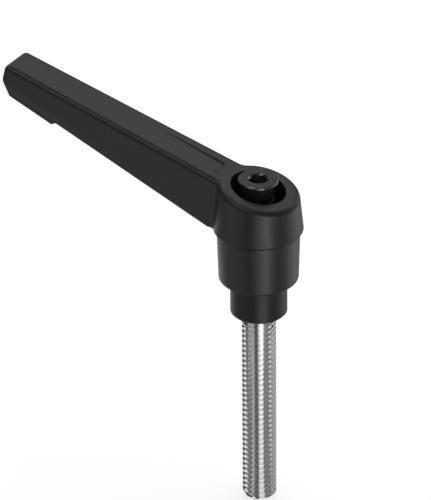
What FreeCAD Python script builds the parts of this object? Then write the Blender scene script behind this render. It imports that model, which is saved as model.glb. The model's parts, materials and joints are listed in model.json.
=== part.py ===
"""Adjustable clamping lever with a threaded stud. All sizes are in millimetres.

The lever turns about +Z and its arm points along +X. The origin is on the stud's axis, in the
collar's clamping face. The stud points down, and the arm rises away from the hub.
Each piece is one solid in one file of its own, drawn with the lever pushed down into its teeth.
"""
import FreeCAD, Part
import math
import os

# Stud
STUD_D = 6.0                  # M6, drawn at its outside diameter
STUD_LENGTH = 37.0            # free length below the collar
STUD_GRIP = 5.5               # length held inside the insert
STUD_PITCH_D = 5.35           # the held end is drawn at its thread's pitch diameter
STUD_CHAMFER = 0.6

# Insert: collar below, teeth above
COLLAR_D = 10.0
COLLAR_LENGTH = 6.85          # the part that shows below the handle
COLLAR_CHAMFER = 0.45
INSERT_INSIDE = 8.3           # from the handle's lower rim to the insert's top face
TOOTH_COUNT = 24
TOOTH_DEPTH = 0.65
TOOTH_LENGTH = 3.2
TOOTH_ROOT_WIDTH = 0.92
TOOTH_TIP_WIDTH = 0.28
INSERT_CHAMFER = 0.25
STUD_BORE_SPARE = 0.3         # the bore goes on this far past the stud's end
STUD_BORE_MOUTH_D = 6.6       # the countersunk mouth of the stud's bore
SCREW_BORE_SPARE = 0.4
DRILL_POINT_DEG = 118.0

# Retaining screw
SCREW_D = 4.0                 # M4, drawn at its outside diameter
SCREW_GRIP = 4.6              # length held inside the insert
SCREW_CHAMFER = 0.4
SCREW_HEAD_D = 7.2
SCREW_HEAD_THICK = 0.5
SCREW_HEAD_EDGE = 0.12
SCREW_HEAD_PROUD = 1.8        # head's top above the counterbore's mouth, on the axis
NECK_TOP_D = 6.1
NECK_BOTTOM_D = 5.7
NECK_LENGTH = 2.9
NECK_CHAMFER = 0.35
SOCKET_AF = 3.0
SOCKET_DEPTH = 2.2
SOCKET_MOUTH_D = 3.7
SOCKET_TURN_DEG = 31.0

# Spring
SPRING_WIRE_D = 0.6
SPRING_MEAN_D = 5.1
SPRING_TURNS = 4.5
SPRING_WIRE_FLATS = 8         # the round wire is drawn with flats, on corners at its own radius

# Handle hub
SKIRT_D = 15.8                # at the skirt's lower edge
SKIRT_TAPER_DEG = 5.6
SKIRT_STEP = 0.6              # how far the skirt stands out over the barrel
BARREL_DRAFT = 0.3            # how much the barrel narrows down to its rim, on the radius
BARREL_HEIGHT = 9.65
BARREL_EDGE = 0.55
HUB_HEIGHT = 17.85            # on the axis, from the lower rim to the sloping top
TOP_SLOPE_DEG = 13.4
COUNTERBORE_D = 9.7
WEB_THICK = 1.8
BORE_CHAMFER = 0.3

# Handle arm
ARM_REACH = 50.0              # from the axis to the tip, at the top face
ARM_WIDTH_AT_AXIS = 8.4
ARM_WIDTH_AT_TIP = 7.0
UNDERSIDE_LEVEL = 0.2         # the underside is level this far past the skirt, and rises beyond
UNDERSIDE_RISE_DEG = 20.0
PAD_LENGTH = 10.6
PAD_THICK = 0.8
PAD_RAMP = 0.9
ARM_ROOT_BLEND = 1.8
TIP_CORNER = 0.9
TIP_HEEL = 2.3
TOP_EDGE = 1.1
LOWER_EDGE = 0.3
POCKET_START = 7.6
POCKET_END = 22.0
POCKET_WIDTH = 3.4
POCKET_DEPTH = 0.35           # at the pocket's inner end
POCKET_CORNER = 0.8

# Clearances
RUNNING_GAP = 0.08            # collar in the handle's bore, on the radius
TOOTH_GAP = 0.1               # tooth crest to tooth root, on the radius
FLANK_GAP = 0.08
TOOTH_END_GAP = 0.2           # below the handle's teeth, along the axis
SHANK_GAP = 0.2               # screw in the web's hole, on the radius
THREAD_GAP = 0.02             # screwed joints, on the radius

# Radii and distances from the axis, worked out from the sizes above
BARREL_TOP_R = SKIRT_D / 2 - SKIRT_STEP
BARREL_RIM_R = BARREL_TOP_R - BARREL_DRAFT
UNDERSIDE_START = SKIRT_D / 2 + UNDERSIDE_LEVEL

# Levels along the axis, worked out from the sizes above
RIM_Z = COLLAR_LENGTH
INSERT_TOP_Z = RIM_Z + INSERT_INSIDE
WEB_TOP_Z = INSERT_TOP_Z + WEB_THICK
SKIRT_Z = RIM_Z + BARREL_HEIGHT
MOUTH_Z = RIM_Z + HUB_HEIGHT
HEAD_TOP_Z = MOUTH_Z + SCREW_HEAD_PROUD
HEAD_LOW_Z = HEAD_TOP_Z - SCREW_HEAD_THICK
NECK_LOW_Z = HEAD_LOW_Z - NECK_LENGTH
ARM_TIP_Z = MOUTH_Z + ARM_REACH * math.tan(math.radians(TOP_SLOPE_DEG))

TOLERANCE = 1e-4
UP = FreeCAD.Vector(0, 0, 1)


def point(x, y, z):
    """A point or a direction."""
    return FreeCAD.Vector(x, y, z)


def polar(radius, degrees, z):
    """A point at a radius and an angle about the stud's axis."""
    angle = math.radians(degrees)
    return point(radius * math.cos(angle), radius * math.sin(angle), z)


def revolved(outline):
    """Turn a closed outline of (radius, height) points about the axis."""
    points = [point(radius, 0, z) for radius, z in outline]
    face = Part.Face(Part.makePolygon(points + points[:1]))
    return face.revolve(point(0, 0, 0), UP, 360)


def cylinder(radius, low, high):
    """An upright cylinder on the axis between two levels."""
    return Part.makeCylinder(radius, high - low, point(0, 0, low))


def drill_tip(radius):
    """Height of the cone that a drill leaves at the end of a blind hole."""
    return radius / math.tan(math.radians(DRILL_POINT_DEG / 2))


def middle(edge):
    """The point halfway along an edge."""
    return edge.valueAt((edge.FirstParameter + edge.LastParameter) / 2)


def edges_where(shape, test):
    """The edges of a shape for which test(edge, its middle point) holds."""
    return [edge for edge in shape.Edges if test(edge, middle(edge))]


def toothed_prism(root_radius, tip_radius, flank_gap, low, high):
    """An upright prism with straight-flanked teeth all round, each wider by the gap on both flanks."""
    pitch = 360.0 / TOOTH_COUNT
    insert_tip = COLLAR_D / 2
    taper = (TOOTH_ROOT_WIDTH - TOOTH_TIP_WIDTH) / TOOTH_DEPTH

    def half_angle(radius):
        width = TOOTH_TIP_WIDTH + (insert_tip - radius) * taper
        return math.degrees((width / 2 + flank_gap) / radius)

    root_half = half_angle(root_radius)
    tip_half = half_angle(tip_radius)
    edges = []
    for tooth in range(TOOTH_COUNT):
        centre = tooth * pitch
        foot = polar(root_radius, centre - root_half, low)
        crest = polar(tip_radius, centre - tip_half, low)
        crest_end = polar(tip_radius, centre + tip_half, low)
        foot_end = polar(root_radius, centre + root_half, low)
        next_foot = polar(root_radius, centre + pitch - root_half, low)
        edges.append(Part.makeLine(foot, crest))
        edges.append(Part.Arc(crest, polar(tip_radius, centre, low), crest_end).toShape())
        edges.append(Part.makeLine(crest_end, foot_end))
        edges.append(Part.Arc(foot_end, polar(root_radius, centre + pitch / 2, low), next_foot).toShape())
    return Part.Face(Part.Wire(edges)).extrude(point(0, 0, high - low))


def threaded_stud():
    """The stud, from its free end up to the end that the insert holds."""
    radius = STUD_D / 2
    held = STUD_PITCH_D / 2
    return revolved([
        (0, -STUD_LENGTH), (radius - STUD_CHAMFER, -STUD_LENGTH), (radius, -STUD_LENGTH + STUD_CHAMFER),
        (radius, 0), (held, radius - held), (held, STUD_GRIP - STUD_CHAMFER),
        (held - STUD_CHAMFER, STUD_GRIP), (0, STUD_GRIP),
    ])


def toothed_insert():
    """The turned insert: collar, teeth, the stud's bore and the screw's bore."""
    radius = COLLAR_D / 2
    body = revolved([
        (0, 0), (radius - COLLAR_CHAMFER, 0), (radius, COLLAR_CHAMFER),
        (radius, INSERT_TOP_Z - INSERT_CHAMFER), (radius - INSERT_CHAMFER, INSERT_TOP_Z),
        (0, INSERT_TOP_Z),
    ])
    teeth_low = INSERT_TOP_Z - TOOTH_LENGTH
    teeth = toothed_prism(radius - TOOTH_DEPTH, radius, 0, teeth_low, INSERT_TOP_Z)
    blank = cylinder(COLLAR_D, teeth_low, INSERT_TOP_Z)
    body = body.cut(blank.cut(teeth))
    stud_bore = STUD_PITCH_D / 2 + THREAD_GAP
    stud_end = STUD_GRIP + STUD_BORE_SPARE
    mouth = STUD_BORE_MOUTH_D / 2
    body = body.cut(revolved([
        (0, 0), (mouth, 0), (stud_bore, mouth - stud_bore), (stud_bore, stud_end),
        (0, stud_end + drill_tip(stud_bore)),
    ]))
    screw_bore = SCREW_D / 2 + THREAD_GAP
    screw_end = INSERT_TOP_Z - SCREW_GRIP - SCREW_BORE_SPARE
    return body.cut(revolved([
        (0, screw_end - drill_tip(screw_bore)), (screw_bore, screw_end),
        (screw_bore, INSERT_TOP_Z), (0, INSERT_TOP_Z),
    ]))


def retaining_screw():
    """The screw that holds the handle and the spring down on the insert."""
    head = SCREW_HEAD_D / 2
    neck_low = NECK_BOTTOM_D / 2
    shank = SCREW_D / 2
    end_z = INSERT_TOP_Z - SCREW_GRIP
    body = revolved([
        (0, end_z), (shank - SCREW_CHAMFER, end_z), (shank, end_z + SCREW_CHAMFER),
        (shank, NECK_LOW_Z), (neck_low - NECK_CHAMFER, NECK_LOW_Z), (neck_low, NECK_LOW_Z + NECK_CHAMFER),
        (NECK_TOP_D / 2, HEAD_LOW_Z), (head - SCREW_HEAD_EDGE, HEAD_LOW_Z),
        (head, HEAD_LOW_Z + SCREW_HEAD_EDGE), (head, HEAD_TOP_Z - SCREW_HEAD_EDGE),
        (head - SCREW_HEAD_EDGE, HEAD_TOP_Z), (0, HEAD_TOP_Z),
    ])
    return body.cut(hex_socket())


def hex_socket():
    """The key's socket, with a coned mouth and a drilled end."""
    corner = SOCKET_AF / math.sqrt(3)
    floor = HEAD_TOP_Z - SOCKET_DEPTH
    corners = [polar(corner, SOCKET_TURN_DEG + 60 * side, floor) for side in range(6)]
    socket = Part.Face(Part.makePolygon(corners + corners[:1])).extrude(point(0, 0, SOCKET_DEPTH))
    drilled = SOCKET_AF / 2 - THREAD_GAP
    tip = revolved([
        (0, floor - drill_tip(drilled)), (drilled, floor), (drilled, HEAD_TOP_Z), (0, HEAD_TOP_Z),
    ])
    mouth = SOCKET_MOUTH_D / 2
    cone = revolved([(0, HEAD_TOP_Z - mouth), (mouth, HEAD_TOP_Z), (0, HEAD_TOP_Z)])
    return socket.fuse(tip).fuse(cone)


def return_spring():
    """The compression spring, with its ends ground flat."""
    low = WEB_TOP_Z
    high = NECK_LOW_Z
    mean = SPRING_MEAN_D / 2
    helix = Part.makeHelix((high - low) / SPRING_TURNS, high - low, mean)
    helix.translate(point(0, 0, low))
    turns = [math.radians(360 / SPRING_WIRE_FLATS * (flat + 0.5)) for flat in range(SPRING_WIRE_FLATS)]
    wire = SPRING_WIRE_D / 2
    corners = [point(mean + wire * math.cos(turn), 0, low + wire * math.sin(turn)) for turn in turns]
    section = Part.makePolygon(corners + corners[:1])
    coil = Part.Wire(helix.Edges).makePipeShell([section], True, True)
    return coil.common(cylinder(SPRING_MEAN_D, low, high))


def hub_blank():
    """The hub as turned: barrel, skirt and cone, taller than the sloping top."""
    over = ARM_TIP_Z + TOP_EDGE
    cone_top = SKIRT_D / 2 - (over - SKIRT_Z) * math.tan(math.radians(SKIRT_TAPER_DEG))
    blank = revolved([
        (0, RIM_Z), (BARREL_RIM_R, RIM_Z), (BARREL_TOP_R, SKIRT_Z), (SKIRT_D / 2, SKIRT_Z),
        (cone_top, over), (0, over),
    ])

    def is_rim(edge, at):
        return at.z < RIM_Z + TOLERANCE and math.hypot(at.x, at.y) > BARREL_RIM_R / 2

    return blank.makeFillet(BARREL_EDGE, edges_where(blank, is_rim))


def arm_half_width(x):
    """Half the arm's width at a distance from the axis."""
    return (ARM_WIDTH_AT_AXIS - (ARM_WIDTH_AT_AXIS - ARM_WIDTH_AT_TIP) * x / ARM_REACH) / 2


def underside_z(x):
    """Height of the arm's sloping underside, without the pad."""
    return SKIRT_Z + (x - UNDERSIDE_START) * math.tan(math.radians(UNDERSIDE_RISE_DEG))


def arm_side_view():
    """The arm seen from the side, as (x, z) points, with room above the sloping top."""
    lean = math.tan(math.radians(TOP_SLOPE_DEG))
    rise = math.radians(UNDERSIDE_RISE_DEG)
    pad_start = ARM_REACH - PAD_LENGTH
    pad_full = pad_start + PAD_RAMP
    over = ARM_TIP_Z + TOP_EDGE
    # The tip's face is square to the sloping top, so its foot stands further out
    pad_at_tip = underside_z(ARM_REACH) - PAD_THICK
    foot = (ARM_TIP_Z - pad_at_tip) * lean / (1 + math.tan(rise) * lean)
    foot_x = ARM_REACH + foot
    foot_z = pad_at_tip + foot * math.tan(rise)
    return [
        (0, SKIRT_Z), (UNDERSIDE_START, SKIRT_Z), (pad_start, underside_z(pad_start)),
        (pad_full, underside_z(pad_full) - PAD_THICK),
        (foot_x - TIP_HEEL * math.cos(rise), foot_z - TIP_HEEL * math.sin(rise)),
        (foot_x - TIP_HEEL * lean, foot_z + TIP_HEEL),
        (ARM_REACH - TOP_EDGE * lean, over), (0, over),
    ]


def arm_blank():
    """The arm as a tapered bar, rounded in plan at its tip."""
    beyond = ARM_REACH + ARM_TIP_Z - SKIRT_Z
    plan = [point(x, side * arm_half_width(x), 0)
            for x, side in ((0, -1), (beyond, -1), (beyond, 1), (0, 1))]
    bar = Part.Face(Part.makePolygon(plan + plan[:1])).extrude(point(0, 0, 2 * ARM_TIP_Z))
    side = [point(x, -ARM_WIDTH_AT_AXIS, z) for x, z in arm_side_view()]
    slab = Part.Face(Part.makePolygon(side + side[:1])).extrude(point(0, 2 * ARM_WIDTH_AT_AXIS, 0))
    arm = bar.common(slab)

    def is_corner(edge, at):
        upright = edge.Vertexes[-1].Point - edge.Vertexes[0].Point
        return at.x > ARM_REACH - TIP_CORNER and abs(at.y) > ARM_WIDTH_AT_TIP / 4 and \
            at.z > ARM_TIP_Z - ARM_WIDTH_AT_TIP / 2 and abs(upright.z) > abs(upright.x)

    return arm.makeFillet(TIP_CORNER, edges_where(arm, is_corner))


def above_top():
    """The room above the sloping top face, as a large block."""
    size = 3 * (ARM_REACH + HUB_HEIGHT)
    block = Part.makeBox(2 * size, 2 * size, size, point(-size, -size, 0))
    block.rotate(point(0, 0, 0), point(0, 1, 0), -TOP_SLOPE_DEG)
    block.translate(point(0, 0, MOUTH_Z))
    return block


def on_top_face(at):
    """Whether a point lies in the plane of the sloping top."""
    return abs(at.z - MOUTH_Z - at.x * math.tan(math.radians(TOP_SLOPE_DEG))) < TOLERANCE


def on_underside(at):
    """Whether a point lies on the arm's lower outline, seen from the side."""
    here = point(at.x, 0, at.z)
    outline = [point(x, 0, z) for x, z in arm_side_view()[1:6]]
    return any((here - start).Length + (end - here).Length < (end - start).Length + TOLERANCE
               for start, end in zip(outline, outline[1:]))


def handle_outside():
    """The moulded handle as a solid body, with its blends and rounded edges."""
    body = hub_blank().fuse(arm_blank()).removeSplitter()
    body = body.cut(above_top()).removeSplitter()
    step_radius = (BARREL_TOP_R + SKIRT_D / 2) / 2

    def is_root(edge, at):
        rise = abs(edge.Vertexes[-1].Z - edge.Vertexes[0].Z)
        return 0 < at.x < UNDERSIDE_START and abs(at.y) > ARM_WIDTH_AT_TIP / 4 and rise > HUB_HEIGHT / 4

    def is_top(edge, at):
        return on_top_face(at) and all(on_top_face(end.Point) for end in edge.Vertexes)

    def is_lower(edge, at):
        if at.x < UNDERSIDE_START - TOLERANCE:
            return abs(at.z - SKIRT_Z) < TOLERANCE and math.hypot(at.x, at.y) > step_radius
        return at.x > UNDERSIDE_START + TOLERANCE and on_underside(at)

    body = body.makeFillet(ARM_ROOT_BLEND, edges_where(body, is_root))
    body = body.makeFillet(TOP_EDGE, edges_where(body, is_top))
    return body.makeFillet(LOWER_EDGE, edges_where(body, is_lower))


def pocket():
    """The shallow pocket in the arm's top, deepest by the hub and running out along the arm."""
    lean = math.tan(math.radians(TOP_SLOPE_DEG))
    start_z = MOUTH_Z + POCKET_START * lean
    side = [
        (POCKET_START, start_z - POCKET_DEPTH), (POCKET_END, MOUTH_Z + POCKET_END * lean),
        (POCKET_END, ARM_TIP_Z), (POCKET_START, ARM_TIP_Z),
    ]
    corners = [point(x, -POCKET_WIDTH / 2, z) for x, z in side]
    cutter = Part.Face(Part.makePolygon(corners + corners[:1])).extrude(point(0, POCKET_WIDTH, 0))

    def is_inner_corner(edge, at):
        return abs(at.x - POCKET_START) < TOLERANCE and abs(at.y) > POCKET_WIDTH / 4

    return cutter.makeFillet(POCKET_CORNER, edges_where(cutter, is_inner_corner))


def handle_inside():
    """The room inside the handle: the insert's bore, tooth spaces, the web's hole, the counterbore."""
    bore = COLLAR_D / 2 + RUNNING_GAP
    teeth_low = INSERT_TOP_Z - TOOTH_LENGTH + TOOTH_END_GAP
    lower = revolved([
        (0, RIM_Z), (bore + BORE_CHAMFER, RIM_Z), (bore, RIM_Z + BORE_CHAMFER),
        (bore, teeth_low), (0, teeth_low),
    ])
    spaces = toothed_prism(COLLAR_D / 2 - TOOTH_DEPTH + TOOTH_GAP, bore, FLANK_GAP, teeth_low, INSERT_TOP_Z)
    hole = cylinder(SCREW_D / 2 + SHANK_GAP, INSERT_TOP_Z, WEB_TOP_Z)
    counterbore = cylinder(COUNTERBORE_D / 2, WEB_TOP_Z, ARM_TIP_Z)
    return [lower, spaces, hole, counterbore]


def lever_handle():
    """The moulded handle: hub, arm and the teeth inside."""
    body = handle_outside().cut(pocket())
    for room in handle_inside():
        body = body.cut(room)
    return body


def main():
    """Build every piece and write each to its own file."""
    os.makedirs("parts", exist_ok=True)
    pieces = {
        "threaded_stud": threaded_stud(),
        "toothed_insert": toothed_insert(),
        "retaining_screw": retaining_screw(),
        "return_spring": return_spring(),
        "lever_handle": lever_handle(),
    }
    for name, shape in pieces.items():
        print(name, shape.isValid(), len(shape.Solids), round(shape.Volume, 2))
        shape.exportStep("parts/" + name + ".step")


if __name__ == "__main__":
    main()
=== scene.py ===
"""Looks for an adjustable clamping lever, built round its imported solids.

The lever's own frame is used throughout: metres, +Z along the stud's axis, the origin in the
collar's clamping face. The stud and the spring are modelled again here, with the stud's thread and
the spring's round wire. The handle, the insert and the screw keep the form of their solids.
"""
import json
import logging
import math
from dataclasses import dataclass, field
from enum import Enum

import bmesh
import bpy
from mathutils import Matrix, Quaternion, Vector

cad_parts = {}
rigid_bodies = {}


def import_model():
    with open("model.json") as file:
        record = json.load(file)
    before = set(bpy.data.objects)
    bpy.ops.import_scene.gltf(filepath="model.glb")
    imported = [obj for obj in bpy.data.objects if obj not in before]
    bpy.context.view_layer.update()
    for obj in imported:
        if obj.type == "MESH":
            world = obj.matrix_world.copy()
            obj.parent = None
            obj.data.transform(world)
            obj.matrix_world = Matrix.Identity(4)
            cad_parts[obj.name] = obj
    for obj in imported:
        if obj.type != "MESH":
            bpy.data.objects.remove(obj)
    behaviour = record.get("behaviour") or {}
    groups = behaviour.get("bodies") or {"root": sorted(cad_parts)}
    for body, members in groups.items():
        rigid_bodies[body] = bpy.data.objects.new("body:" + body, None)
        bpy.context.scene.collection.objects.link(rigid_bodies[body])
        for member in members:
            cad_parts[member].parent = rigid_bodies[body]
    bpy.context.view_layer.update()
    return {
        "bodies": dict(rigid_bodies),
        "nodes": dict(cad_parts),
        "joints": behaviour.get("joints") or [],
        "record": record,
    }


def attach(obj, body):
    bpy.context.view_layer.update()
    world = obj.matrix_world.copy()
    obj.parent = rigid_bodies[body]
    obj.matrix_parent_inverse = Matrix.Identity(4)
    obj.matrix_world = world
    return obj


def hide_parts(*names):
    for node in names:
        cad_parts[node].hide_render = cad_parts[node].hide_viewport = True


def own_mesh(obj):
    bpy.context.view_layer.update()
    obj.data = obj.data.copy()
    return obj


MM = 0.001
LOG = logging.getLogger("clamping_lever")


class Body(Enum):
    """The bodies that carry a piece modelled here."""

    CORE = "core"
    SPRING = "spring"


class Slot(Enum):
    """The record's finishes for the pieces modelled here."""

    STUD = "stainless_steel"
    SPRING = "spring_steel"


class Value:
    """A number socket of a node graph, which arithmetic can be written with."""

    def __init__(self, graph: "Graph", socket: bpy.types.NodeSocket) -> None:
        """Wrap a socket.

        Args:
            graph: The graph that new maths nodes go into.
            socket: The output that carries the number.
        """
        self.graph = graph
        self.socket = socket

    def _join(self, operation: str, first: "Value | float", second: "Value | float") -> "Value":
        """Add one maths node.

        Args:
            operation: The node's operation.
            first: Its first value.
            second: Its second value.

        Returns:
            The result as a value.
        """
        node = self.graph.node("ShaderNodeMath", {"operation": operation}, {0: first, 1: second})
        return Value(self.graph, node.outputs[0])

    def __add__(self, other: "Value | float") -> "Value":
        """Sum of two values."""
        return self._join("ADD", self, other)

    def __radd__(self, other: float) -> "Value":
        """Sum of a number and this value."""
        return self._join("ADD", other, self)

    def __sub__(self, other: "Value | float") -> "Value":
        """Difference of two values."""
        return self._join("SUBTRACT", self, other)

    def __rsub__(self, other: float) -> "Value":
        """A number less this value."""
        return self._join("SUBTRACT", other, self)

    def __mul__(self, other: "Value | float") -> "Value":
        """Product of two values."""
        return self._join("MULTIPLY", self, other)

    def at_least(self, limit: float) -> "Value":
        """This value, or the limit where it is under it."""
        return self._join("MAXIMUM", self, limit)

    def alone(self, operation: str) -> "Value":
        """The result of a maths operation that takes one value."""
        node = self.graph.node("ShaderNodeMath", {"operation": operation}, {0: self})
        return Value(self.graph, node.outputs[0])

    def fading(self, start: float, end: float) -> "Value":
        """A smooth fall from 1 to 0.

        Args:
            start: Where it begins to fall.
            end: Where it reaches 0.

        Returns:
            The fall.
        """
        node = self.graph.node(
            "ShaderNodeMapRange", {"interpolation_type": "SMOOTHSTEP"},
            {"Value": self, "From Min": start, "From Max": end, "To Min": 1.0, "To Max": 0.0})
        return Value(self.graph, node.outputs[0])


class Graph:
    """The node graph of one material or world."""

    def __init__(self, tree: bpy.types.NodeTree) -> None:
        """Clear a tree and start again.

        Args:
            tree: The node tree to build in.
        """
        self.tree = tree
        tree.nodes.clear()

    def node(self, kind: str, settings: dict | None = None, sockets: dict | None = None) -> bpy.types.Node:
        """Add a node of any type.

        Args:
            kind: The node's type name.
            settings: Its properties, set first.
            sockets: Numbers, colours, values or sockets for its inputs, by name or number.

        Returns:
            The new node.
        """
        node = self.tree.nodes.new(kind)
        for name, setting in (settings or {}).items():
            setattr(node, name, setting)
        for key, given in (sockets or {}).items():
            source = given.socket if isinstance(given, Value) else given
            if isinstance(source, bpy.types.NodeSocket):
                self.tree.links.new(source, node.inputs[key])
            else:
                node.inputs[key].default_value = source
        return node

    def place(self) -> bpy.types.NodeSocket:
        """The shaded point, on the piece's own coordinates."""
        return self.node("ShaderNodeTexCoord").outputs["Object"]

    def noise(self, size_mm: float, detail: float = 2.0, stretch: tuple = (1.0, 1.0, 1.0)) -> Value:
        """A soft random pattern from 0 to 1.

        Args:
            size_mm: Size of its larger spots.
            detail: How many finer layers it has.
            stretch: How much longer the spots are along each axis.

        Returns:
            The pattern.
        """
        scale = tuple(1.0 / (part * size_mm * MM) for part in stretch)
        where = self.node("ShaderNodeMapping", {"vector_type": "POINT"},
                          {"Vector": self.place(), "Scale": scale})
        pattern = self.node("ShaderNodeTexNoise", {"noise_dimensions": "3D"},
                            {"Vector": where.outputs[0], "Scale": 1.0, "Detail": detail})
        return Value(self, pattern.outputs[0])

    def along(self, axis: str) -> Value:
        """The shaded point's place along one of the axes, in millimetres."""
        parts = self.node("ShaderNodeSeparateXYZ", None, {0: self.place()})
        return Value(self, parts.outputs[axis]) * (1.0 / MM)

    def distance(self) -> Value:
        """The shaded point's distance from the axis, in millimetres."""
        flat = self.node("ShaderNodeVectorMath", {"operation": "MULTIPLY"},
                         {0: self.place(), 1: (1.0, 1.0, 0.0)})
        length = self.node("ShaderNodeVectorMath", {"operation": "LENGTH"}, {0: flat.outputs[0]})
        return Value(self, length.outputs["Value"]) * (1.0 / MM)

    def waves(self, along: Value, period_mm: float) -> Value:
        """A ripple from −1 to 1 of a steady period.

        Args:
            along: The distance that it runs along, in millimetres.
            period_mm: Its period.

        Returns:
            The ripple.
        """
        return (along * (2 * math.pi / period_mm)).alone("SINE")

    def dot(self, vector: bpy.types.NodeSocket, direction: Vector) -> Value:
        """How far a vector reaches along a fixed direction."""
        node = self.node("ShaderNodeVectorMath", {"operation": "DOT_PRODUCT"},
                         {0: vector, 1: tuple(direction)})
        return Value(self, node.outputs["Value"])

    def blend(self, low: tuple, high: tuple, share: Value) -> bpy.types.NodeSocket:
        """A colour between two others.

        Args:
            low: The colour where the share is 0.
            high: The colour where it is 1.
            share: The share.

        Returns:
            The mixed colour.
        """
        mix = self.node("ShaderNodeMix", {"data_type": "RGBA"},
                        {"Factor": share, "A": (*low, 1.0), "B": (*high, 1.0)})
        return mix.outputs["Result"]

    def bump(self, relief: Value, depth_mm: float) -> bpy.types.NodeSocket:
        """A surface relief.

        Args:
            relief: Its height from 0 to 1.
            depth_mm: The depth that 1 stands for.

        Returns:
            The bent normal.
        """
        node = self.node("ShaderNodeBump", None,
                         {"Strength": 1.0, "Distance": depth_mm * MM, "Height": relief})
        return node.outputs[0]


@dataclass(frozen=True)
class Finish:
    """What every finish shares: a name, a metallic share, a gloss and a way to make its material."""

    name: str
    metallic: float
    specular: float

    def material(self) -> bpy.types.Material:
        """Make the material.

        Returns:
            A material with one Principled shader, dressed by the finish.
        """
        material = bpy.data.materials.new(self.name)
        material.use_nodes = True
        graph = Graph(material.node_tree)
        shader = graph.node("ShaderNodeBsdfPrincipled", None,
                            {"Metallic": self.metallic, "Specular IOR Level": self.specular})
        graph.node("ShaderNodeOutputMaterial", None, {"Surface": shader.outputs[0]})
        for name, source in self.surface(graph).items():
            source = source.socket if isinstance(source, Value) else source
            graph.tree.links.new(source, shader.inputs[name])
        return material

    def surface(self, graph: Graph) -> dict:
        """What varies over the surface, by the shader's socket.

        Args:
            graph: The material's graph.

        Returns:
            Sockets or values by the name of the shader's input.
        """
        raise NotImplementedError


@dataclass(frozen=True)
class MouldedPlastic(Finish):
    """Black glass-filled plastic with the fine spark-eroded grain of its mould.

    The lip, the walls and the edges below are relief in the shading only. The weaker gloss on the lower
    rims of barrel and skirt is painted shade. Millimetres and degrees.
    """

    dark: tuple = (0.0075, 0.0076, 0.008)
    light: tuple = (0.0125, 0.0126, 0.013)
    roughness: float = 0.3
    grain_mm: float = 0.22
    grain_depth_mm: float = 0.016
    pocket_start: float = 7.6
    pocket_half_width: float = 1.5
    pocket_depth: float = 0.35
    mouth: float = 24.7
    top_slope_deg: float = 13.4
    wall_slope: float = 0.7
    wall_below: tuple = (-1.0, -0.5)
    wall_beside: tuple = (2.4, 2.8)
    wall_reach: tuple = (6.5, 7.3)
    lip_width: float = 0.55
    lip_depth: float = 0.1
    lip_side: float = 0.3
    lip_length: float = 4.0
    arm_start: tuple = (8.0, 16.5)
    arm_rise_deg: float = 20.0
    edge_width: float = 1.6
    edge_slope: float = 0.35
    edge_reach: tuple = (9.0, 12.0)
    patch_mm: float = 3.5
    rim_heights: tuple = (6.85, 16.5)
    rim_width: float = 0.45
    # painted shade: the share of gloss taken off the lower rims, for the shadow gaps under skirt and
    # barrel
    painted_rim_shade: float = 0.6
    hub_reach: tuple = (6.5, 8.0)

    def surface(self, graph: Graph) -> dict:
        """Grain, lip, walls and edges in the normal, unevenness in colour, roughness and gloss, and
        painted shade on the lower rims in the gloss.
        """
        grain = graph.noise(self.grain_mm, 3.0)
        patches = graph.noise(self.patch_mm, 2.0)
        return {
            "Base Color": graph.blend(self.dark, self.light, grain * 0.6 + patches * 0.4),
            "Roughness": self.roughness + grain * 0.1 + patches * 0.06,
            "Normal": graph.bump(
                grain * self.grain_depth_mm - self.lip(graph) - self.edge(graph), 1.0),
            "Specular IOR Level": self.gloss(graph),
        }

    def gloss(self, graph: Graph) -> Value:
        """How strongly the plastic mirrors, cut down on the lower rims of barrel and skirt as painted
        shade.

        Args:
            graph: The material's graph.

        Returns:
            The level.
        """
        height = graph.along("Z")
        hub = graph.along("X").fading(*self.hub_reach)
        # painted shade: near the hub, a band at each lower rim's height loses gloss, which darkens it like
        # the shadow gap there
        rims = height * 0.0
        for rim in self.rim_heights:
            beside = (height - rim).alone("ABSOLUTE")
            rims = rims + beside.fading(self.rim_width * 0.5, self.rim_width)
        return (1.0 - rims * hub * self.painted_rim_shade) * self.specular

    def edge(self, graph: Graph) -> Value:
        """How far the arm's lower edges are rounded off, in millimetres.

        Args:
            graph: The material's graph.

        Returns:
            The fall.
        """
        rise = math.radians(self.arm_rise_deg)
        start = self.arm_start[1] * math.cos(rise) - self.arm_start[0] * math.sin(rise)
        reach = graph.along("X")
        above = graph.along("Z") * math.cos(rise) - reach * math.sin(rise) - start
        left = (self.edge_width - above).at_least(0.0)
        arm = 1.0 - reach.fading(*self.edge_reach)
        return left * left * arm * (self.edge_slope / (2 * self.edge_width))

    def lip(self, graph: Graph) -> Value:
        """How far the pocket's inner lip is rounded down and its side walls lean, in millimetres.

        Args:
            graph: The material's graph.

        Returns:
            The fall, less the walls' rise.
        """
        reach, side, height = (graph.along(axis) for axis in "XYZ")
        lip = 1.0 - reach.fading(self.pocket_start - self.lip_width, self.pocket_start)
        end = reach.fading(self.pocket_start, self.pocket_start + self.lip_length)
        inside = side.alone("ABSOLUTE").fading(
            self.pocket_half_width, self.pocket_half_width + self.lip_side)
        top_slope = math.tan(math.radians(self.top_slope_deg))
        above = height - reach * top_slope - (self.mouth - self.pocket_depth)
        wall = above.fading(0.0, self.pocket_depth) * (1.0 - above.fading(*self.wall_below))
        beside = side.alone("ABSOLUTE").fading(*self.wall_beside)
        near = beside * (1.0 - reach.fading(*self.wall_reach))
        lowered = lip * end * inside * self.lip_depth
        return lowered - wall * near * (self.pocket_depth * self.wall_slope)


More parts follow.
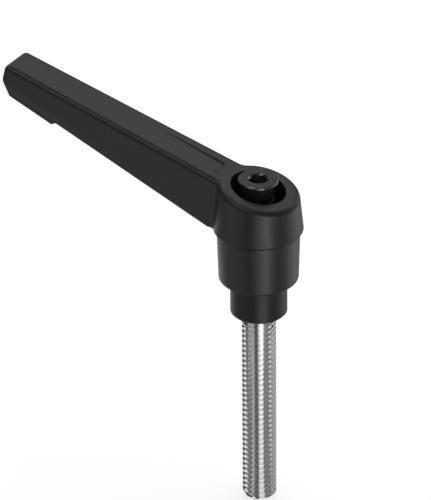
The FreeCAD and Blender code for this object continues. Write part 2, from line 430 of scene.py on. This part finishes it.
@dataclass(frozen=True)
class BlackOxide(Finish):
    """Blackened steel with the fine rings that turning left."""

    dark: tuple = (0.02, 0.02, 0.021)
    light: tuple = (0.06, 0.06, 0.062)
    roughness: float = 0.34
    ring_mm: float = 0.11
    ring_depth_mm: float = 0.002

    def surface(self, graph: Graph) -> dict:
        """Turned rings, speckled where the oxide took unevenly."""
        speckle = graph.noise(0.16, 3.0)
        rings = graph.waves(graph.along("Z") + graph.distance(), self.ring_mm) * 0.5 + 0.5
        relief = rings * 0.4 + speckle * 0.6
        return {
            "Base Color": graph.blend(self.dark, self.light, speckle),
            "Roughness": self.roughness + speckle * 0.16,
            "Normal": graph.bump(relief, self.ring_depth_mm),
        }


@dataclass(frozen=True)
class BrightSteel(Finish):
    """Stainless steel as a thread roller leaves it."""

    dark: tuple = (0.8, 0.8, 0.8)
    light: tuple = (0.88, 0.88, 0.88)
    roughness: float = 0.09
    streak_depth_mm: float = 0.002

    def surface(self, graph: Graph) -> dict:
        """Fine scratches along the thread's turns, and a faint haze."""
        streaks = graph.noise(0.4, 3.0, (1.0, 1.0, 0.12))
        haze = graph.noise(1.6, 2.0)
        return {
            "Base Color": graph.blend(self.dark, self.light, streaks * 0.5 + haze * 0.5),
            "Roughness": self.roughness + streaks * 0.06 + haze * 0.04,
            "Normal": graph.bump(streaks, self.streak_depth_mm),
        }


@dataclass(frozen=True)
class DrawnWire(Finish):
    """Dark drawn spring wire."""

    dark: tuple = (0.05, 0.05, 0.052)
    light: tuple = (0.12, 0.12, 0.125)
    roughness: float = 0.38

    def surface(self, graph: Graph) -> dict:
        """A mottled drawn surface."""
        mottle = graph.noise(0.3, 3.0)
        return {
            "Base Color": graph.blend(self.dark, self.light, mottle),
            "Roughness": self.roughness + mottle * 0.12,
            "Normal": graph.bump(mottle, 0.002),
        }


class Mesh:
    """A piece's mesh while it is being made."""

    def __init__(self) -> None:
        """Start empty."""
        self.work = bmesh.new()

    def line(self, outline: list[tuple[float, float]], turn_deg: float = 0.0) -> list:
        """Draw an open line of (radius, height) points in a plane through the axis.

        Args:
            outline: The points, in millimetres.
            turn_deg: The plane's angle about the axis.

        Returns:
            The line's vertices and edges.
        """
        turn = Matrix.Rotation(math.radians(turn_deg), 3, "Z")
        points = [self.work.verts.new(turn @ Vector((r * MM, 0.0, z * MM))) for r, z in outline]
        edges = [self.work.edges.new(pair) for pair in zip(points, points[1:])]
        return points + edges

    def spin(self, geometry: list, turns: float, rise_mm: float, steps_per_turn: int) -> list:
        """Sweep geometry about the axis, in a full ring or in a helix.

        Args:
            geometry: What is swept.
            turns: How many turns.
            rise_mm: How far it climbs in one turn.
            steps_per_turn: How finely the turns are divided.

        Returns:
            The geometry at the sweep's end.
        """
        ring = rise_mm == 0.0 and turns == 1.0
        swept = bmesh.ops.spin(
            self.work, geom=geometry, cent=(0.0, 0.0, 0.0), axis=(0.0, 0.0, 1.0),
            dvec=(0.0, 0.0, rise_mm * MM / steps_per_turn), angle=2 * math.pi * turns,
            steps=round(steps_per_turn * turns), use_merge=ring, use_duplicate=False)
        return swept["geom_last"]

    def stack(self, count: int, rise_mm: float) -> None:
        """Repeat the mesh upwards, by doubling it.

        Args:
            count: At least how many of it there are in the end.
            rise_mm: How far each stands above the last.
        """
        made = 1
        while made < count:
            everything = self.work.verts[:] + self.work.edges[:] + self.work.faces[:]
            copy = bmesh.ops.duplicate(self.work, geom=everything)["geom"]
            points = [item for item in copy if isinstance(item, bmesh.types.BMVert)]
            bmesh.ops.translate(self.work, verts=points, vec=(0.0, 0.0, made * rise_mm * MM))
            made *= 2

    def cut(self, height_mm: float, keep_above: bool) -> None:
        """Cut everything off at a level and close the cut.

        Args:
            height_mm: The level.
            keep_above: Whether what is above it stays.
        """
        everything = self.work.verts[:] + self.work.edges[:] + self.work.faces[:]
        found = bmesh.ops.bisect_plane(
            self.work, geom=everything, plane_co=(0.0, 0.0, height_mm * MM), plane_no=(0.0, 0.0, 1.0),
            clear_inner=keep_above, clear_outer=not keep_above)
        rim = [item for item in found["geom_cut"] if isinstance(item, bmesh.types.BMEdge)]
        bmesh.ops.holes_fill(self.work, edges=rim, sides=0)

    def weld(self, distance_mm: float = 0.002) -> None:
        """Merge vertices that lie together.

        Args:
            distance_mm: How close they lie.
        """
        bmesh.ops.remove_doubles(self.work, verts=self.work.verts[:], dist=distance_mm * MM)

    def finished(self, name: str, crease_deg: float = 32.0) -> bpy.types.Object:
        """Turn the mesh into an object with smooth faces and sharp edges.

        Args:
            name: The object's name.
            crease_deg: The angle past which an edge is sharp.

        Returns:
            The object, at the origin.
        """
        bmesh.ops.recalc_face_normals(self.work, faces=self.work.faces[:])
        for face in self.work.faces:
            face.smooth = True
        for edge in self.work.edges:
            edge.smooth = edge.is_manifold and edge.calc_face_angle(math.pi) < math.radians(crease_deg)
        data = bpy.data.meshes.new(name)
        self.work.to_mesh(data)
        self.work.free()
        piece = bpy.data.objects.new(name, data)
        bpy.context.scene.collection.objects.link(piece)
        return piece


@dataclass
class ThreadForm:
    """A rolled metric thread: flat crests with broken corners, and rounded roots. Millimetres.

    Crest, flank and root are (depth, height) shares of the pitch. The flank has points close to its
    ends, so that its smooth shading stays flat between them.
    """

    radius: float
    pitch: float
    steps: int = 72
    flank_fall: float = 0.51
    flank_rise: float = 0.295
    flank_top: float = 0.02
    flank_shares: tuple = (0.135, 0.15, 0.415, 0.43)
    crest: tuple = ((0.0, 0.0), (0.0, 0.1), (0.004, 0.118))
    root: tuple = ((0.56, 0.45), (0.585, 0.475), (0.59, 0.5))

    def outline(self, low: float) -> list[tuple[float, float]]:
        """One pitch of the thread, from crest to crest.

        Args:
            low: Height of the first crest's middle.

        Returns:
            (radius, height) points.
        """
        first = self.flank_shares[0]
        flank = [(self.flank_top + (share - first) * self.flank_fall / self.flank_rise, share)
                 for share in self.flank_shares]
        depths = [*self.crest, *flank, *self.root]
        half = [(self.radius - depth * self.pitch, share) for depth, share in depths]
        rising = [(radius, low + share * self.pitch) for radius, share in half]
        falling = [(radius, low + (1.0 - share) * self.pitch) for radius, share in reversed(half[:-1])]
        return rising + falling

    def mesh(self, low: float, high: float) -> Mesh:
        """The threaded bar between two levels, with flat ends.

        Args:
            low: The lower level.
            high: The upper level.

        Returns:
            The mesh.
        """
        bar = Mesh()
        start = low - 2 * self.pitch
        turns = math.ceil((high - low) / self.pitch) + 3
        bar.spin(bar.line(self.outline(start)), 1.0, self.pitch, self.steps)
        bar.stack(turns, self.pitch)
        bar.weld(0.0005)
        bar.cut(low, keep_above=True)
        bar.cut(high, keep_above=False)
        return bar


@dataclass
class Stud:
    """The stainless stud, with its thread from end to end. Millimetres."""

    thread: ThreadForm = field(default_factory=lambda: ThreadForm(3.0, 1.0))
    length: float = 37.0
    grip: float = 5.5
    held_radius: float = 2.675
    chamfer: float = 0.62
    end_radius: float = 2.32
    finish: Finish = BrightSteel("rolled_stainless_steel", 1.0, 0.5)

    def turned_radius(self, height: float) -> float:
        """The radius that the bar is turned down to at a height above its free end."""
        if height > self.length:
            return self.held_radius
        return self.end_radius + height * (self.thread.radius - self.end_radius) / self.chamfer

    def build(self) -> bpy.types.Object:
        """Roll the thread, then turn a chamfer on the free end.

        Returns:
            The stud.
        """
        bar = self.thread.mesh(-self.length, self.grip)
        for vertex in bar.work.verts:
            limit = self.turned_radius(vertex.co.z / MM + self.length) * MM
            radius = math.hypot(vertex.co.x, vertex.co.y)
            if radius > limit:
                vertex.co.x *= limit / radius
                vertex.co.y *= limit / radius
        piece = bar.finished("stud_with_thread")
        piece.data.materials.append(self.finish.material())
        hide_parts("threaded_stud")
        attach(piece, Body.CORE.value)
        return piece


@dataclass
class ReturnSpring:
    """The return spring: round wire, closed and ground ends. Millimetres."""

    low: float = 16.95
    high: float = 23.1
    mean_radius: float = 2.55
    wire_radius: float = 0.3
    active_turns: float = 2.5
    solid_share: float = 0.4472
    finish: Finish = DrawnWire("drawn_spring_wire", 1.0, 0.5)

    def build(self) -> bpy.types.Object:
        """Wind a closed turn, the active turns and a closed turn, and grind both ends.

        Returns:
            The spring.
        """
        coil = Mesh()
        closed_rise = 2 * self.wire_radius
        start = self.low + self.wire_radius / 6
        active_rise = (self.high - self.low - 2 * (start - self.low) - 2 * closed_rise) / self.active_turns
        ring = bmesh.ops.create_circle(
            coil.work, cap_ends=True, segments=14, radius=self.wire_radius * MM,
            matrix=Matrix.Translation((self.mean_radius * MM, 0.0, start * MM))
            @ Matrix.Rotation(math.pi / 2, 4, "X"))
        geometry = ring["verts"] + coil.work.edges[:] + coil.work.faces[:]
        geometry = coil.spin(geometry, 1.0, closed_rise, 60)
        geometry = coil.spin(geometry, self.active_turns, active_rise, 60)
        coil.spin(geometry, 1.0, closed_rise, 60)
        coil.weld(0.0005)
        coil.cut(self.low, keep_above=True)
        coil.cut(self.high, keep_above=False)
        piece = coil.finished("wound_spring", 50.0)
        piece.data.materials.append(self.finish.material())
        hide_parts("return_spring")
        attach(piece, Body.SPRING.value)
        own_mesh(piece)
        return piece


@dataclass
class Solids:
    """The pieces that keep the form of their solids."""

    frame: dict
    handle: Finish = MouldedPlastic("moulded_black_plastic", 0.0, 0.5)
    insert: Finish = BlackOxide("black_oxide_insert", 0.85, 0.4)
    screw: Finish = BlackOxide(
        "black_oxide_screw", 0.9, 0.5, (0.09, 0.09, 0.092), (0.125, 0.125, 0.128), roughness=0.1)

    def dress(self) -> None:
        """Give the handle, the insert and the screw their materials."""
        for node, finish in (("lever_handle", self.handle), ("toothed_insert", self.insert),
                             ("retaining_screw", self.screw)):
            piece = self.frame["nodes"][node]
            piece.data.materials.clear()
            piece.data.materials.append(finish.material())
            LOG.info("dressed %s", node)


@dataclass(frozen=True)
class Panel:
    """A soft panel of light, by its direction from the hub. Degrees."""

    bearing: float
    height: float
    half_width: float
    half_height: float
    softness: float
    strength: float

    def edge(self, half: float) -> tuple[float, float]:
        """Where the panel's light begins and ends to fade, either side of its middle."""
        return half - self.softness, half + self.softness


@dataclass
class Studio:
    """Floor, light and camera. The camera stands where the photograph was taken from.

    The panels were set against the photograph, for this one view. By ray type the camera sees
    white, mirroring surfaces see the panels, and diffuse light is even, so this is no physical set-up.
    """

    pivot: tuple = (0.0, 0.0, 24.7)
    elevation_deg: float = 29.0
    arm_turn_deg: float = 31.5
    lean_deg: float = 0.23
    distance: float = 1350.0
    pixels_per_mm: float = 5.775
    pivot_pixel: tuple = (258.3, 187.5)
    picture: tuple = (431, 500)
    sensor: float = 36.0
    floor_level: float = -37.0
    gloom: float = 0.06
    under_gloom: float = 0.12
    under_from: tuple = (-44.3, -42.9)
    ambient: float = 0.7
    panels: tuple = (
        Panel(14.0, -33.0, 21.0, 37.0, 8.0, 1.1),
        Panel(20.0, -35.0, 7.0, 35.0, 5.0, 2.1),
        Panel(108.0, -50.0, 26.0, 45.0, 7.0, 0.96),
        Panel(-43.0, -45.0, 7.0, 50.0, 3.0, 0.42),
        Panel(-70.0, -45.0, 18.0, 50.0, 8.0, 0.44),
        Panel(-130.0, -30.0, 12.0, 40.0, 10.0, 0.12),
        Panel(62.0, -50.0, 22.0, 45.0, 6.0, 0.25),
        Panel(-156.0, -45.0, 24.0, 50.0, 12.0, 0.75),
        Panel(166.0, 48.0, 24.0, 12.0, 4.0, 1.2),
        Panel(-158.0, 45.0, 36.0, 15.0, 4.0, 1.05),
        Panel(105.0, 78.0, 22.0, 9.0, 3.0, 1.2),
        Panel(-110.0, 68.0, 22.0, 5.0, 2.0, 0.4),
        Panel(-50.0, 53.0, 28.0, 8.0, 3.0, 1.7),
        Panel(-12.0, 36.0, 10.0, 5.0, 3.0, 0.8),
        Panel(122.0, 40.0, 20.0, 20.0, 6.0, 0.3),
        Panel(132.0, 15.0, 13.0, 9.0, 4.0, 1.2),
        Panel(-122.0, -41.0, 14.0, 4.5, 3.0, 0.7),
        Panel(-100.0, -29.0, 14.0, 3.5, 2.5, 0.6),
        Panel(165.0, -45.0, 22.0, 45.0, 8.0, 0.5),
    )
    under_panels: tuple = (
        Panel(-75.0, -70.0, 16.0, 40.0, 5.0, 0.1),
        Panel(-44.0, -70.0, 8.0, 40.0, 4.0, 0.46),
        Panel(13.0, -70.0, 16.0, 40.0, 5.0, 0.82),
        Panel(50.0, -70.0, 14.0, 40.0, 5.0, 0.1),
        Panel(74.0, -70.0, 7.0, 40.0, 4.0, 0.28),
        Panel(92.0, -70.0, 8.0, 40.0, 4.0, 0.14),
        Panel(124.0, -70.0, 22.0, 40.0, 6.0, 0.4),
        Panel(-130.0, -70.0, 28.0, 40.0, 10.0, 0.65),
    )

    def axes(self) -> tuple[Vector, Vector, Vector]:
        """The picture's right, up and inward directions in the lever's frame."""
        turn = math.radians(self.arm_turn_deg)
        tilt = math.radians(self.elevation_deg)
        right = Vector((-math.cos(turn), -math.sin(turn), 0.0))
        level = math.cos(tilt)
        inward = Vector((level * math.sin(turn), -level * math.cos(turn), -math.sin(tilt)))
        return right, right.cross(inward), inward

    def camera(self) -> bpy.types.Object:
        """Place the camera.

        Returns:
            The camera.
        """
        inward = self.axes()[2]
        pivot = Vector(self.pivot)
        place = pivot - inward * self.distance
        data = bpy.data.cameras.new("camera")
        data.sensor_fit = "VERTICAL"
        data.sensor_height = self.sensor
        data.lens = self.sensor * self.pixels_per_mm * self.distance / self.picture[1]
        data.shift_x = (self.picture[0] / 2 - self.pivot_pixel[0]) / self.picture[1]
        data.shift_y = (self.pivot_pixel[1] - self.picture[1] / 2) / self.picture[1]
        data.clip_start = 0.1
        data.clip_end = 20.0
        camera = bpy.data.objects.new("camera", data)
        look = inward.to_track_quat("-Z", "Y")
        camera.rotation_mode = "QUATERNION"
        camera.rotation_quaternion = look @ Quaternion((0.0, 0.0, 1.0), math.radians(-self.lean_deg))
        camera.location = place * MM
        bpy.context.scene.collection.objects.link(camera)
        bpy.context.scene.camera = camera
        return camera

    def lamp(self, name: str, offset: tuple, size: tuple, power: float) -> bpy.types.Object:
        """Hang a soft lamp that faces the hub.

        Args:
            name: The lamp's name.
            offset: Its place from the hub along the picture's right, up and outward, in metres.
            size: Its width and height, in metres.
            power: Its power in watts.

        Returns:
            The lamp.
        """
        right, up, inward = self.axes()
        data = bpy.data.lights.new(name, "AREA")
        data.shape = "RECTANGLE"
        data.size, data.size_y = size
        data.energy = power
        lamp = bpy.data.objects.new(name, data)
        hub = Vector(self.pivot) * MM
        lamp.location = hub + right * offset[0] + up * offset[1] - inward * offset[2]
        lamp.rotation_mode = "QUATERNION"
        lamp.rotation_quaternion = (hub - lamp.location).to_track_quat("-Z", "Y")
        lamp.visible_glossy = False
        bpy.context.scene.collection.objects.link(lamp)
        return lamp

    def surroundings(self, graph: Graph, direction: bpy.types.NodeSocket) -> Value:
        """The brightness of what stands round the lever, by its direction from the hub.

        Args:
            graph: The graph to build in.
            direction: The direction, of unit length.

        Returns:
            The brightness.
        """
        right, _, inward = self.axes()
        towards = Vector((-inward.x, -inward.y, 0.0)).normalized()
        across = graph.dot(direction, right)
        along = graph.dot(direction, towards)
        bearing = Value(graph, graph.node("ShaderNodeMath", {"operation": "ARCTAN2"},
                                          {0: across, 1: along}).outputs[0]) * math.degrees(1.0)
        height = graph.dot(direction, Vector((0.0, 0.0, 1.0))).alone("ARCSINE") * math.degrees(1.0)
        under = height.fading(*self.under_from)
        around = self.glow(self.panels, bearing, height) + self.gloom
        beneath = self.glow(self.under_panels, bearing, height) + self.under_gloom
        return around * (1.0 - under) + beneath * under

    @staticmethod
    def glow(panels: tuple, bearing: Value, height: Value) -> Value:
        """The light of some panels together.

        Args:
            panels: The panels.
            bearing: The direction's bearing, in degrees.
            height: Its height above the horizon, in degrees.

        Returns:
            The brightness.
        """
        total = height * 0.0
        for panel in panels:
            beside = (bearing - panel.bearing).alone("ABSOLUTE")
            above = (height - panel.height).alone("ABSOLUTE")
            across = beside.fading(*panel.edge(panel.half_width))
            upright = above.fading(*panel.edge(panel.half_height))
            total = total + across * upright * panel.strength
        return total

    def lights(self) -> None:
        """Hang the lamps and set up the surroundings."""
        self.lamp("overhead_softbox", (0.05, 0.62, 0.1), (0.7, 0.5), 4.0)
        world = bpy.data.worlds.new("surroundings")
        world.use_nodes = True
        bpy.context.scene.world = world
        graph = Graph(world.node_tree)
        path = graph.node("ShaderNodeLightPath")
        camera = Value(graph, path.outputs["Is Camera Ray"])
        glossy = Value(graph, path.outputs["Is Glossy Ray"])
        direction = graph.node("ShaderNodeTexCoord").outputs["Generated"]
        strength = camera + glossy * self.surroundings(graph, direction)
        strength = strength + (1.0 - (camera + glossy)) * self.ambient
        light = graph.node("ShaderNodeBackground", None,
                           {"Color": (1.0, 1.0, 1.0, 1.0), "Strength": strength})
        graph.node("ShaderNodeOutputWorld", None, {"Surface": light.outputs[0]})

    def floor(self) -> bpy.types.Object:
        """Lay the pale floor.

        Returns:
            The floor.
        """
        sheet = Mesh()
        bmesh.ops.create_grid(sheet.work, x_segments=8, y_segments=8, size=4.0,
                              matrix=Matrix.Translation((0.0, 0.0, self.floor_level * MM)))
        floor = sheet.finished("floor")
        material = bpy.data.materials.new("white_paper")
        material.use_nodes = True
        graph = Graph(material.node_tree)
        path = graph.node("ShaderNodeLightPath")
        camera = Value(graph, path.outputs["Is Camera Ray"])
        glossy = Value(graph, path.outputs["Is Glossy Ray"])
        hub = Vector(self.pivot) * MM
        seen = graph.node("ShaderNodeVectorMath", {"operation": "SUBTRACT"},
                          {0: graph.place(), 1: tuple(hub)})
        direction = graph.node("ShaderNodeVectorMath", {"operation": "NORMALIZE"},
                               {0: seen.outputs[0]})
        strength = camera + glossy * self.surroundings(graph, direction.outputs[0])
        paper = graph.node("ShaderNodeBsdfDiffuse", None, {"Color": (0.8, 0.8, 0.8, 1.0)})
        glow = graph.node("ShaderNodeEmission", None,
                          {"Color": (1.0, 1.0, 1.0, 1.0), "Strength": strength})
        both = graph.node("ShaderNodeMixShader", None,
                          {0: camera * 0.75 + glossy, 1: paper.outputs[0], 2: glow.outputs[0]})
        graph.node("ShaderNodeOutputMaterial", None, {"Surface": both.outputs[0]})
        floor.data.materials.append(material)
        return floor


def main() -> None:
    """Dress the lever and set the stage."""
    logging.basicConfig(level=logging.INFO)
    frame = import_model()
    bpy.context.scene.view_settings.view_transform = "Standard"
    studio = Studio()
    studio.camera()
    studio.lights()
    studio.floor()
    Solids(frame).dress()
    for maker in (Stud(), ReturnSpring()):
        piece = maker.build()
        LOG.info("built %s: %d faces", piece.name, len(piece.data.polygons))


if __name__ == "__main__":
    main()
